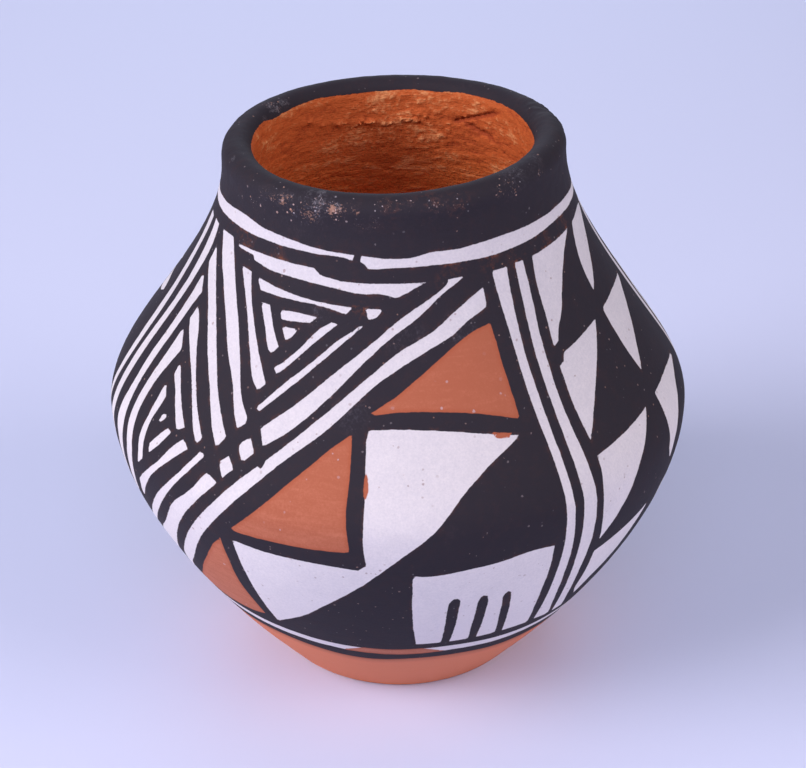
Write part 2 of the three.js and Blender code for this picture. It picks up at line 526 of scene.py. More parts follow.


# Bare clay: rust-orange and matte. Its crests and some broad streaks are a dry tan, which on the crests is a
# painted highlight, and the grooves, pits and crack are a darker red as painted shade. Deep inside it is
# painted a brighter, cleaner orange than near the mouth, as painted bounce light.
rust = (0.50, 0.102, 0.024, 1)
bounce_lit_orange = (0.86, 0.23, 0.052, 1)
dry_tan_and_highlight = (0.74, 0.32, 0.135, 1)
groove_shade_red = (0.26, 0.034, 0.008, 1)
bounce_lit_below = 0.052
bounce_lit_fades_above = 0.070
bump_strength = 0.9
clay_ior = 1.32


def bare_look(bench, place):
    marks = bench.attribute("marks")
    height = parts_of(bench, place)["Z"]
    streaks = wiping_streaks(bench, place)
    broad = bench.noise(place * (1.0, 1.0, 1.6), 130.0, 2.0, 0.5, 0.8)
    scratches = bench.noise(place * (1.0, 1.0, 5.0), 900.0, 2.0, 0.6, 0.5)
    grain = bench.noise(place, 1900.0, 3.0, 0.65)
    # Dry tan in broad streaks of the clay, and on the relief's crests as a painted highlight.
    dry_and_crest_highlight = (marks * 0.9 + broad * 1.2 + streaks * 0.35 + scratches * 0.4 + grain * 0.7).rising(0.10, 0.95)
    # Darker red in the grooves, pits and crack: painted shade.
    deep = 0.05 - marks * 1.1 - streaks * 0.4 - broad * 0.45 + scratches * 0.3 + grain * 0.5
    deep = deep.rising(0.0, 0.7)
    # A brighter, cleaner orange deep inside the jar: painted bounce light.
    colour = bench.mixed(bounce_lit_orange, rust, height.rising(bounce_lit_below, bounce_lit_fades_above))
    colour = bench.mixed(colour, dry_tan_and_highlight, dry_and_crest_highlight * 0.85)
    colour = bench.mixed(colour, groove_shade_red, deep * 0.75)
    roughness = 0.80 + grain * 0.06
    relief = grain * 0.10 + streaks * 0.05 + scratches * 0.08
    return colour, roughness, relief


def new_finish(name, look):
    finish = bpy.data.materials.new(name)
    finish.use_nodes = True
    bench = Bench(finish.node_tree)
    skin = finish.node_tree.nodes["Principled BSDF"]
    colour, roughness, relief = look(bench, bench.node("ShaderNodeTexCoord", output="Object"))
    bump = bench.node("ShaderNodeBump", None, {"Strength": bump_strength, "Distance": mm, "Height": relief})
    for title, value in (("Base Color", colour), ("Roughness", roughness), ("Normal", bump)):
        finish.node_tree.links.new(value.socket, skin.inputs[title])
    skin.inputs["IOR"].default_value = clay_ior
    return finish


bare_finish = new_finish("bare_clay_wiped", bare_look)

foot_start = (foot_radius - foot_edge, 0)
foot_stop = wall_point(foot_edge, 0)
floor_corner = wall_point(floor_meets_wall, None)
floor_start = (floor_corner[0] - floor_fillet, floor_thickness)
inside_start = wall_point(first_joint - lap_length, None)
base_rows = np.concatenate([
    [(x, 0, 0, -1, 0, 0) for x in np.linspace(0, foot_radius - foot_edge, 12)],
    rounded_corner(foot_start, (foot_radius, 0), foot_stop, 4, (0, -1), (0.8, -0.6)),
    wall_run(foot_edge, first_joint, 1.5, coat_thickness),
    rounded_corner(inside_start, floor_corner, floor_start, 10, (-0.75, 0.66), (0, 1), 1.0),
    [(x, floor_thickness, 0, 1, 0, 1) for x in np.linspace(floor_start[0], 0, 30)],
])
base_pat = turned_piece("base_pat_of_clay", base_rows, bare_finish, closed_section=False)
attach(base_pat, "root")
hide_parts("base_pat")


# The coils: ten rolled rings of clay. Each is lapped on the inside of the one below, pinched
# to it and wiped, so that they show inside only as one streaky wall with ridges at the laps.
coil_names = (["lower_wall_coil_%d" % i for i in (1, 2, 3, 4)] + ["belly_coil"]
              + ["shoulder_coil_%d" % i for i in (1, 2, 3)] + ["neck_coil", "rim_coil"])


lip_middle = neck_radius - lip_thickness / 2
turns_under_at = math.radians(140)
first_coil_in_sight = 7
pitch_in_sight = 0.3
pitch_below = 0.55


def lip_run(radius, turned_from, turned_to, steps, dressed, bare):
    turns = np.radians(np.linspace(turned_from, turned_to, steps + 1))
    over = np.clip((turns - turns_under_at) / (math.pi - turns_under_at), 0, 1)
    return np.stack([lip_middle + radius * np.cos(turns), wall_top + radius * np.sin(turns),
                     np.cos(turns), np.sin(turns), dressed * (1 - over), bare * over], axis=1)


for i, coil_name in enumerate(coil_names):
    runs = [wall_run(coil_joints[i], coil_joints[i + 1], 2.0, coat_thickness)]
    inside_top = coil_joints[i + 1] - lap_length
    if coil_name == "rim_coil":
        runs.append(lip_run(lip_thickness / 2 - coat_thickness, 0, 180, 10, 0, 0))
        inside_top = outline_length
    pitch = pitch_in_sight if i >= first_coil_in_sight else pitch_below
    runs.append(wall_run(inside_top, coil_joints[i] - lap_length, pitch, None, bare=1.0))
    coil = turned_piece(coil_name + "_of_clay", np.concatenate(runs), bare_finish)
    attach(coil, "root")
    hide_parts(coil_name)


# The white slip: a thin coat of white clay from the underbody to the neck, rubbed smooth. The
# design is painted on it in black, so that what is left white are the stripes and patches
# between the strokes, and three fields and the underbody are filled in with orange. The front
# of the design is given here as turns in degrees and heights, and it comes again at the back.
white_slip_bottom = 12.6
white_slip_top = 71.1
corner_cosine = 0.9


def smooth(points, steps=5):
    """A line through a few points, curved as a brush goes, and sharp where it turns by much."""
    points = np.array(points, float)
    if len(points) < 3:
        return points
    chords = np.diff(points, axis=0) * (0.6, 1.0)
    lengths = np.linalg.norm(chords, axis=1)
    ways = chords / lengths[:, None]
    sharp = np.flatnonzero((ways[1:] * ways[:-1]).sum(axis=1) < corner_cosine) + 1
    along = np.concatenate([[0], np.cumsum(lengths)])
    line = []
    for first, last in zip([0, *sharp], [*sharp, len(points) - 1]):
        run = points[first:last + 1]
        slope = np.gradient(run, along[first:last + 1], axis=0)
        share = np.linspace(0, 1, steps if last - first > 1 else 1, endpoint=False)[:, None]
        weight = 2 * share**3 - 3 * share**2 + 1
        for i in range(last - first):
            leaving = (share**3 - 2 * share**2 + share) * slope[i]
            arriving = (share**3 - share**2) * slope[i + 1]
            bend = (leaving + arriving) * lengths[first + i]
            line.append(weight * run[i] + (1 - weight) * run[i + 1] + bend)
    return np.concatenate(line + [points[-1:]])


def patch(*sides):
    """A closed outline with smooth sides and a corner where one side ends and the next begins."""
    return np.concatenate([smooth(side) for side in sides])


def stripe(one_edge, other_edge):
    return patch(one_edge, other_edge[::-1])


left_stripes = [
    stripe([(-85.6, 67.2), (-85.3, 60), (-84.1, 51.3), (-83.4, 46.5), (-83.9, 40), (-83.5, 30), (-82, 22),
            (-80, 17)],
           [(-80.6, 67.2), (-81.6, 61), (-80.9, 52.2), (-80.8, 48), (-81.3, 42), (-80.9, 32), (-79.6, 23),
            (-77.5, 17)]),
    stripe([(-76.6, 67.6), (-76.1, 64), (-77.3, 56), (-78.4, 50), (-78, 44), (-77.6, 36), (-76.8, 26),
            (-74.5, 17)],
           [(-72, 67.6), (-71.4, 65), (-73, 60), (-75.1, 52), (-75.25, 46), (-74.5, 40), (-74, 30),
            (-72.8, 22), (-71, 17)]),
]
slanting_stripes = [
    patch([(-68, 67.7), (-59.6, 68), (-56.8, 66.3), (-50, 62.6), (-45, 59.7), (-40, 56), (-36.1, 52.7),
           (-32.9, 50.9)],
          [(-33.1, 50.2), (-34.6, 49.7)],
          [(-36.4, 50.9), (-39.1, 53.2), (-45, 56.6), (-50, 59.5), (-57.1, 62.9), (-62.1, 64.9),
           (-66.4, 67.2)]),
    stripe([(-68.2, 65.5), (-62.5, 63.2), (-55, 59.7), (-47.1, 55.2), (-42.9, 52.4), (-36.4, 48.4)],
           [(-68.7, 63.3), (-64.8, 61.7), (-60, 60), (-52.1, 55.9), (-45, 52), (-40.4, 48.6), (-37.9, 47)]),
    stripe([(-62.9, 58.6), (-60, 57.7), (-55, 54.9), (-50, 52), (-45, 49), (-41.8, 47.2)],
           [(-63.7, 56.9), (-59, 55), (-54, 53.1), (-49.8, 50.9), (-44.6, 47.4), (-43, 46.5)]),
    stripe([(-58.2, 52.4), (-57.3, 52.4), (-53.1, 50.3), (-49.3, 48.3), (-47.4, 47.3)],
           [(-58, 51.3), (-55, 50), (-51.4, 47.9), (-49.3, 46.6)]),
]
upright_stripes = [
    patch([(-69.3, 60.2), (-68.9, 61.4), (-67.7, 61.5), (-64.6, 60)],
          [(-65.9, 58.4), (-67.5, 54.5), (-68.7, 48), (-68, 44), (-67, 40.5), (-67.5, 38.5), (-70, 31)],
          [(-72.5, 30), (-71, 37), (-70.6, 40), (-71.4, 42), (-71.1, 47), (-71.4, 50), (-70.6, 54),
           (-69.6, 58)]),
    patch([(-64.3, 55.3), (-63.6, 55.5), (-60.2, 53.8)],
          [(-61.2, 52.4), (-63, 49.1), (-63.4, 45.6), (-62.1, 42), (-61.4, 40.5), (-62.8, 36.5),
           (-64.8, 32.5)],
          [(-67, 32), (-65.5, 36.5), (-64.1, 40.5), (-65.7, 44), (-65.9, 48), (-65.1, 52)]),
    patch([(-59.1, 49.7), (-58.6, 49.8), (-56.8, 48.8)],
          [(-57.1, 47.4), (-57.7, 46), (-57.7, 44), (-56.6, 40.9)],
          [(-58.9, 39.4), (-58.6, 40.6), (-59.6, 43.4), (-59.3, 45.6)]),
    patch([(-55.4, 46.2), (-55.2, 47), (-54.3, 47.4), (-53.5, 47.2)], [(-54.1, 46.6), (-55, 46.1)]),
    stripe([(-55.4, 43.4), (-53.6, 44.9), (-51.8, 46.2), (-50.4, 46.1)],
           [(-55, 42.2), (-53.2, 43.4), (-51.4, 45)]),
]
rising_stripes = [
    patch([(-46.4, 46.2), (-47.5, 45.6), (-51.4, 42.2), (-56.8, 38.6), (-60, 36.5)],
          [(-61.1, 34.3), (-61.2, 33.4), (-60.4, 33.6), (-56.4, 37.1), (-52.5, 40.2), (-48.6, 42.9),
           (-44.5, 45.5)]),
    stripe([(-64.5, 28.2), (-58.6, 32.2), (-52.1, 37.2), (-46.1, 41.6), (-41.1, 46)],
           [(-65, 26.6), (-60.7, 29.1), (-54.3, 33.6), (-48.2, 38.6), (-45, 41.3), (-39.8, 45.7)]),
    stripe([(-65.5, 24.6), (-59.3, 28.3), (-52.9, 32.2), (-46.4, 37.9), (-41.8, 40.9), (-38.2, 44.1)],
           [(-64, 20.5), (-57.1, 25.2), (-52.5, 28.8), (-46.4, 34.5), (-41.4, 38.8), (-35.5, 43.4)]),
    stripe([(25.9, 65.9), (18.3, 64.2), (10, 61.9), (0, 59.6), (-5, 57.8), (-15, 53.4), (-25, 48.1),
            (-30, 45.2), (-37.4, 39.5), (-44.3, 33.6), (-50.4, 28.3), (-54.3, 25.3), (-60, 21)],
           [(25.7, 63.7), (20, 62.6), (15, 61.3), (5, 59.2), (-5, 56.3), (-15, 51.4), (-22.9, 47.5),
            (-30, 42.8), (-35.6, 38.3), (-42.1, 32.6), (-48.6, 26.8), (-53.6, 23.6), (-59.5, 19)]),
    patch([(20.7, 67.5), (15.4, 67.4), (15.5, 67), (12.9, 66.2), (5, 64.3), (0, 62.9), (-5, 61.1),
           (-15, 57.2), (-22.1, 53.8), (-29.3, 50.4)],
          [(-27.7, 48.6), (-22.1, 51.1), (-15, 54.9), (-7.9, 58.6), (-2.1, 61), (5.7, 63.3), (13.2, 65.7),
           (18.6, 67)]),
    stripe([(-30.4, 56.7), (-29.3, 57), (-25, 59.1), (-19.8, 61.8), (-17.1, 62.6)],
           [(-29.1, 56), (-25, 58.1), (-20.4, 60.4), (-15.5, 62.4)]),
]
nested_triangles = [
    patch([(-55.6, 67.7), (-44, 68), (-24.7, 68.2)], [(-22.5, 67.6), (-19.9, 67.4), (0, 67.3), (9.3, 67.3)],
          [(6.4, 66.8), (2.9, 66.1), (0, 65.7), (-1.8, 65.9), (-4.3, 66.1), (-9, 66), (-20, 66.4),
           (-40, 66.6)],
          [(-46.8, 66.9), (-47.5, 67.4), (-55.4, 67.4)]),
    patch([(-51.2, 65.6), (-46.6, 65.5), (-44.3, 63.4), (-40.4, 60.7), (-35, 57.2), (-31.1, 54.8)],
          [(-32.7, 53.9), (-34.3, 54.5), (-38.6, 57.7), (-45, 62.2), (-50, 65)]),
    patch([(-43.4, 65.3), (-35, 64.9), (-20, 64.5), (-11.6, 64.4)],
          [(-13.6, 63.6), (-17.9, 64), (-30, 64.1), (-41.1, 64), (-42.5, 64.7)]),
    patch([(-8.8, 64.4), (-3.4, 64.4)], [(-5, 63.5), (-6.4, 63.2), (-7.5, 63.3), (-7.9, 64.2)]),
    patch([(-39.7, 62.8), (-36.6, 62.9), (-32.9, 60.2), (-30.5, 58.8)],
          [(-32, 58), (-33.2, 58.2), (-35, 59.5), (-37.5, 61.3)]),
    patch([(-32.9, 62.7), (-27.2, 62.9), (-21.6, 62.8)], [(-23.1, 62.1), (-27.5, 61.9), (-31.8, 61.7)]),
    patch([(-31.1, 61.1), (-26.3, 61.1)], [(-27.5, 60.2), (-29.1, 59.7), (-30.2, 60.4)]),
    patch([(-32.9, 47.9), (-32.5, 48.5), (-30.9, 49.2)], [(-29.2, 47.8), (-31.2, 46.5)]),
    patch([(-36.1, 45.7), (-34.5, 46.7)], [(-32.6, 45.5), (-34.7, 44.1)]),
]
white_steps = [
    patch([(-5.9, 51.9), (0, 52), (10, 51.6), (20, 50.6), (25.7, 49.9)],
          [(25.7, 49.9), (24.3, 49.5), (17.1, 47.3), (11.4, 44.6), (6.6, 41.1), (0.4, 37.3), (-7.7, 31.6),
           (-15, 27), (-22, 22.7), (-27.7, 20.1), (-30.7, 18.8)],
          [(-30.7, 18.8), (-31, 21), (-31.4, 27), (-32.2, 35.9)],
          [(-32.2, 35.9), (-24.9, 35.6), (-15.6, 35.4), (-9.9, 35.1), (-7.2, 34.9)],
          [(-6.8, 35.4), (-5.9, 35.8), (-6.2, 37.5), (-6.1, 44), (-6.3, 50.6)]),
    patch([(2.4, 34.1), (5.1, 33.9), (12.9, 34.5), (19, 34.9), (25.1, 35.5), (29.8, 35.2)],
          [(29.8, 35.2), (30.1, 30.2), (30.3, 26), (31, 22.4), (32.9, 17.1)],
          [(32.9, 17.1), (20, 17.3), (3.5, 17.4)],
          [(3.5, 17.4), (2.7, 22), (2.3, 28)]),
    patch([(2.5, 35.6), (2.7, 35.9)], [(2.9, 35.6), (2.7, 35.4)]),
]
right_stripes = [
    stripe([(29.6, 67.4), (30.4, 60), (30.5, 54), (31.4, 46), (32.1, 35), (32.5, 27.7), (33.5, 22),
            (34.8, 17.2)],
           [(34.8, 67.4), (33.9, 63.4), (32.8, 57), (33, 50), (34.2, 35), (35, 27.7), (36.7, 22),
            (39.8, 16.8)]),
    stripe([(38, 67.5), (37.3, 64), (35.5, 56), (35.4, 50), (35.8, 40), (37, 27.7), (38.7, 22),
            (41.2, 16.8)],
           [(41.1, 67.5), (40.9, 64.9), (38.6, 58), (37.8, 53), (38.6, 44), (39.2, 35), (40, 25.6),
            (41.7, 21.3), (44.4, 17)]),
]
wings = [
    patch([(45, 67.5), (66.6, 67.8)],
          [(66.6, 67.8), (60, 66), (52.9, 62.8), (47.9, 60), (45, 58.7), (43.6, 57.6)],
          [(41.6, 57.3), (42.9, 60.9), (43.9, 64.9), (44.6, 66.5)]),
    patch([(41.1, 55.3), (42.7, 55.4), (43.8, 56.3), (50, 56.8), (59.6, 57.5)],
          [(59.6, 57.5), (55, 55), (50, 52.3), (45, 49.4), (41.1, 46.8)],
          [(41.1, 46.8), (40.6, 50.9), (40.8, 53.1)]),
    patch([(41.3, 45), (50, 45.6), (60.2, 46.2)],
          [(60.2, 46.2), (55.7, 43.6), (51.4, 41.2), (47.3, 37.2), (43, 33.3), (41.9, 32.4)],
          [(41.9, 32.4), (41.2, 35.6), (40.8, 42), (41.2, 43.4)]),
    patch([(41.7, 30.1), (48, 31), (58.4, 32.4)],
          [(58.4, 32.4), (56.2, 29.5), (52.3, 25.4), (48, 22.2), (45.9, 19.3)],
          [(45.9, 19.3), (43.5, 21.6), (42.5, 25.6), (41.9, 29.5)]),
    patch([(71.4, 67.8), (85, 67.7), (88, 67.3)],
          [(88, 67.3), (82.5, 65.8), (75, 63.3), (67.5, 60.6), (65, 59.9)],
          [(65, 59.9), (65.2, 61.8), (67.5, 65.2), (70.4, 67.4)]),
    patch([(64.6, 57.7), (75, 57.9), (86.8, 57.3)],
          [(86.8, 57.3), (80, 55.6), (72.1, 52.4), (65.9, 49.3)],
          [(65.9, 49.3), (64.8, 52.4), (64.4, 55.9)]),
    patch([(65.7, 46.4), (75, 46.5), (86.4, 45.6)],
          [(86.4, 45.6), (80, 44.7), (74.3, 42.7), (70.4, 40.9), (65.7, 36.8)],
          [(65.7, 36.8), (64.4, 39), (65.2, 42.7), (65.5, 44.5)]),
    patch([(66, 32.5), (74, 33.5), (83, 33.3)],
          [(83, 33.3), (78, 30.5), (72, 26.5), (68, 22.5)],
          [(68, 22.5), (66.2, 26), (65.8, 30)]),
]
orange_fields = [
    patch([(-6, 53.5), (-0.3, 55.2), (5.7, 57.3), (12.4, 59.4), (19.8, 61.2), (25.7, 61.9)],
          [(25.7, 61.9), (26.25, 57), (26.8, 51.5)],
          [(26.8, 51.5), (18.6, 52.8), (10, 53.5), (0, 53.7), (-4.6, 53.4)]),
    patch([(-32.1, 37.8), (-26.2, 41.9), (-21.4, 45.2), (-16.6, 48), (-12.6, 50.1), (-9.3, 51.4)],
          [(-9.3, 51.5), (-9.1, 47), (-9.4, 44), (-8.8, 38.1)],
          [(-9.3, 37.8), (-20, 37.7), (-31, 37.6)]),
    patch([(-35.2, 35.4), (-34.9, 31.3), (-34.9, 26.5), (-34.1, 22.7), (-33.6, 19.7)],
          [(-33.6, 19.7), (-36.6, 19.1), (-42, 18.6), (-56, 18.4)],
          [(-56, 19.6), (-49.6, 23.6), (-44.3, 27.7), (-39.9, 31.5), (-37.7, 33.6)]),
    patch([(-6.4, 47.9), (-5.6, 47.2), (-5.4, 46.2), (-5.6, 45.2), (-6.3, 44.6)]),
    patch([(19.2, 50.9), (24.2, 50.3)], [(23.2, 49.9), (20.8, 50.1)]),
]
white_hairline = [(-30.9, 52.3, 0.7), (-28, 54, 0.8), (-25, 55.6, 0.9), (-20, 58, 0.7), (-15, 60.3, 0.7),
                  (-8.6, 62.6, 0.25)]
back_wing_at_left = patch([(-90.7, 54.1), (-93, 54.8), (-96, 55), (-101, 55.2)],
                          [(-101, 52.2), (-95, 52.9), (-92, 53.7)])
comb_teeth = [
    patch([(9.5, 26.5), (9.8, 28.1), (10.5, 28.8), (11.3, 28.8), (11.9, 28.2)], [(11.9, 22), (11.6, 16.8)],
          [(9.6, 16.8)]),
    patch([(15.6, 27.2), (15.9, 28.4), (16.7, 28.8), (17.4, 28.4), (17.8, 27.2)],
          [(18.1, 22.5), (18.5, 16.8)],
          [(16.5, 16.8), (15.8, 21)]),
    patch([(20.9, 27.2), (21.2, 28.2), (21.9, 28.5), (22.6, 28), (22.9, 27)], [(23.9, 22.5), (25.6, 16.8)],
          [(23.6, 16.8), (22, 22)]),
]
black_blot = patch([(-27.7, 47.8), (-26.4, 48), (-26.5, 46.9), (-26.9, 46.3), (-27.4, 46.6)])
neck_break = patch([(-11.4, 71), (-10.1, 71)], [(-10.3, 69.65), (-9, 69.4), (-7.9, 69), (-7.9, 68.6)],
                   [(-13, 68.6), (-12.8, 69.7)])

# Lines that go all round: their heights at some turns. The white line of the neck is broken
# once, left of the front, where its two ends don't meet.
neck_line = [(-180, 70.9), (-150, 71.1), (-115, 70.6), (-80, 70.7), (-70, 71), (-55, 71.5), (-45, 71.1),
             (-38, 71), (-20, 70.5), (-11.4, 70.4), (7, 70.4), (9, 70.6), (20, 70.8), (30, 71.1),
             (50, 71.2), (70, 71.1), (85, 70.6), (120, 70.8), (150, 71.2), (180, 70.9)]
neck_line_foot = [(-180, 69.4), (-150, 69.6), (-115, 69.3), (-80, 69.3), (-60, 69.6), (-40, 69.8),
                  (-27, 69.9), (-12.9, 69.7), (-9, 69.05), (0, 69.1), (10, 69.2), (30, 69.2), (45, 69.4),
                  (60, 69.8), (80, 69.6), (120, 69.4), (150, 69.7), (180, 69.4)]
belly_line = [(-180, 16), (-140, 16.3), (-90, 17), (-60, 17.2), (-42, 17.2), (-30, 16.6), (-20, 16),
              (-2, 15.6), (10, 15.9), (30, 15.2), (60, 15.2), (90, 15.6), (140, 16.2), (180, 16)]
belly_line_foot = [(-180, 14.5), (-140, 14.9), (-90, 15.6), (-60, 15.8), (-42, 15.75), (-30, 15.2),
                   (-20, 14.6), (0, 14.1), (10, 14.4), (30, 13.9), (60, 13.9), (90, 14.2), (140, 14.8),
                   (180, 14.5)]
orange_top = [(-180, 12.5), (-140, 12.9), (-90, 13.8), (-50, 13.9), (-35, 13.8), (-22, 12.6), (-10, 11.9),
              (3, 12.4), (15, 12.5), (30, 11.8), (60, 11.9), (90, 12.3), (140, 12.8), (180, 12.5)]


def height_round(line, turns):
    dense = smooth(line, 12)
    return np.interp(turns, dense[:, 0], dense[:, 1])


# The spots of a surface are four rows: turns, heights, the millimetres to a degree, and those
# along the wall to a millimetre of height. Depths beyond the reach don't count.
depth_reach = 3.0
farther_than_any = 9.0


def nearest_on_edge(start, end, spots):
    """Where along an edge, as a share, each spot comes nearest to it, and how near that is."""
    turns, heights, spread, climb = spots
    across = (start[0] - turns) * spread
    up = (start[1] - heights) * climb
    run_across = (end[0] - start[0]) * spread
    run_up = (end[1] - start[1]) * climb
    share = -(across * run_across + up * run_up) / (run_across**2 + run_up**2 + 1e-12)
    share = np.clip(share, 0, 1)
    return share, np.hypot(across + share * run_across, up + share * run_up)


def depth_inside(shape, spots):
    """How deep inside a closed shape each spot of the surface lies, in millimetres of surface."""
    turns, heights = spots[:2]
    nearest = np.full(len(turns), farther_than_any)
    inside = np.zeros(len(turns), bool)
    for start, end in zip(shape, np.roll(shape, -1, axis=0)):
        nearest = np.minimum(nearest, nearest_on_edge(start, end, spots)[1])
        if start[1] != end[1]:
            crossing = start[0] + (heights - start[1]) / (end[1] - start[1]) * (end[0] - start[0])
            inside ^= ((start[1] > heights) != (end[1] > heights)) & (turns < crossing)
    return np.where(inside, nearest, -nearest)


def depth_in_stroke(stroke, spots):
    """The same for a brush stroke, given as turns, heights and widths."""
    deepest = np.full(len(spots[0]), -farther_than_any)
    for start, end in zip(stroke, stroke[1:]):
        share, away = nearest_on_edge(start, end, spots)
        deepest = np.maximum(deepest, (start[2] + share * (end[2] - start[2])) / 2 - away)
    return deepest


def near_spots(points, spots):
    turns, heights = spots[:2]
    low = np.min(points, axis=0)
    high = np.max(points, axis=0)
    margin = depth_reach / np.maximum(spots[2], 0.1)
    return np.flatnonzero((turns > low[0] - margin) & (turns < high[0] + margin)
                          & (heights > low[1] - depth_reach) & (heights < high[1] + depth_reach))


def laid_on(depths, shapes, spots, depth_in=depth_inside):
    for shape in shapes:
        chosen = near_spots(shape, spots)
        depths[chosen] = np.maximum(depths[chosen], depth_in(shape, spots[:, chosen]))


def painted_over(depths, shapes, spots):
    for shape in shapes:
        chosen = near_spots(shape, spots)
        depths[chosen] = np.minimum(depths[chosen], -depth_inside(shape, spots[:, chosen]))


def surface_spots(mesh):
    places = np.zeros(len(mesh.vertices) * 3)
    mesh.vertices.foreach_get("co", places)
    places = places.reshape(-1, 3) / mm
    heights = places[:, 2]
    leaning = side_lean * (heights - belly_height)
    turns = np.degrees(np.arctan2(places[:, 0] - leaning, -places[:, 1]))
    spread = np.hypot(places[:, 0] - leaning, places[:, 1]) * math.pi / 180
    steepness = np.interp(heights, outline[:, 1], outline_way[:, 1])
    return np.stack([turns, heights, spread, 1 / np.maximum(steepness, 0.4)])


# Where the paint has worn: turn, radius, height, reach and strength of each place. The lip is
# flaked left of the front, and smeared with chalky dust there and at its back left. The black is
# thin and brown beside the neck line, and rubbed to a bluish bloom between the rising stripes.
# On top of the lip, right of the front, the same bluish bloom is a painted sheen, where light glances off
# it.
worn_places = [
    (-27, 22.5, 75.1, 3.0, 1.0), (-19, 22.4, 75.8, 2.4, 1.0), (-24, 22.3, 76.2, 2.4, 0.9),
    (-35, 22.6, 75.2, 2.8, 0.95), (-42, 22.5, 75.4, 2.6, 0.85), (-49, 22.6, 74.6, 2.6, 0.7),
    (-14, 22.3, 76.1, 2.2, 0.75), (-9.8, 22.6, 74.7, 2.4, 0.7), (-3, 22.0, 76.8, 1.8, 0.75),
    (4, 22.2, 76.6, 2.2, 0.8), (14, 22.4, 76.4, 2.2, 0.8), (21, 22.4, 76.5, 1.8, 0.75),
    (41, 22.3, 76.9, 2.6, 0.85), (36, 22.3, 76.9, 1.8, 0.75), (55, 22.4, 76.9, 1.3, 0.9),
    (-122, 19.2, 76.7, 2.4, 0.8), (-19.4, 22.5, 75.8, 0.75, 1.9), (-37.3, 22.5, 75.3, 0.6, 1.7),
    (-33.5, 22.6, 74.7, 0.5, 1.5), (-11, 22.4, 75.7, 0.6, 1.6), (-30, 22.6, 74.4, 0.5, 1.4),
    (150, 21.0, 77.0, 3.0, 0.6), (-165, 22.5, 75.0, 3.5, 0.8),
]
smeared_places = [
    (-24, 22.4, 75.9, 1.9, 0.9), (-25, 20.8, 77.2, 1.1, 1.0), (-29, 21.0, 77.1, 1.1, 0.9),
    (-31.5, 21.8, 76.7, 0.9, 0.6), (-18, 22.2, 76.5, 0.6, 1.2), (-122, 19.2, 76.7, 1.7, 0.8),
    (-129, 19.2, 76.7, 1.5, 0.8), (-113, 19.0, 76.4, 1.1, 0.5), (-71, 21.8, 76.5, 1.1, 0.8),
    (46.5, 21.2, 78.0, 1.7, 0.7), (-54, 22.6, 75.3, 0.7, 0.7), (12, 21.8, 76.9, 1.3, 0.4),
]
browned_places = [
    (1, 22.1, 76.7, 2.2, 0.9), (11, 22.2, 76.7, 2.4, 1.0), (21, 22.4, 76.5, 2.2, 0.9),
    (-61, 23.5, 69.0, 2.2, 1.0), (-52, 23.4, 69.2, 2.2, 1.0), (-38, 23.9, 68.4, 1.6, 1.0),
    (-25, 22.9, 71.7, 1.6, 1.0), (-10, 25.6, 64.0, 1.5, 1.0), (14.5, 24.2, 67.2, 1.5, 1.0),
    (18, 23.5, 69.0, 2.2, 0.9), (29, 23.8, 68.4, 1.8, 1.0), (40, 24.0, 68.2, 2.2, 1.0),
    (50, 23.8, 68.7, 2.6, 1.0), (64, 23.9, 68.3, 2.6, 1.0), (150, 23.8, 68.5, 3.0, 1.0),
    (-130, 23.8, 68.5, 3.0, 1.0),
]
rubbed_and_sheen_places = [
    (3, 27.6, 60.8, 3.0, 1.0), (17, 26.8, 61.8, 2.6, 0.9), (-22, 26.0, 63.3, 2.2, 0.9),
    # At turns 47 and 56 on top of the lip this is a painted sheen, not rubbing.
    (-10, 32.0, 53.0, 2.8, 0.7), (47, 20.8, 78.0, 3.0, 0.6), (56, 20.3, 78.1, 2.5, 0.6),
    (-28, 22.5, 75.5, 5.0, 0.5), (-150, 30.0, 57.0, 4.0, 0.8),
]


def share_near(places, spots):
    turns, heights, spread = spots[:3]
    radius = spread * 180 / math.pi
    share = np.zeros(len(turns))
    for turn, place_radius, height, reach, strength in places:
        across = 2 * np.sqrt(radius * place_radius) * np.abs(np.sin(np.radians(turns - turn) / 2))
        away = np.sqrt(across**2 + (radius - place_radius) ** 2 + (heights - height) ** 2) / reach
        share = np.maximum(share, strength * np.clip(1.7 * (1 - away), 0, 1))
    return share


# How the back departs from the front: its sides slide a little towards the middle, and its
# strokes wander by so many degrees and millimetres.
left_slide = 5
right_slide = 4
turn_wander = 0.8
height_wander = 0.5

# The orange of the underbody runs up over the black line at the front, between two slanting
# ends: each a turn and a height, with so many degrees of slant to a millimetre.
orange_run_left = (-15, 14.5)
orange_run_right = (9.8, 14.8)
orange_run_slant = 4
orange_spill = 0.15


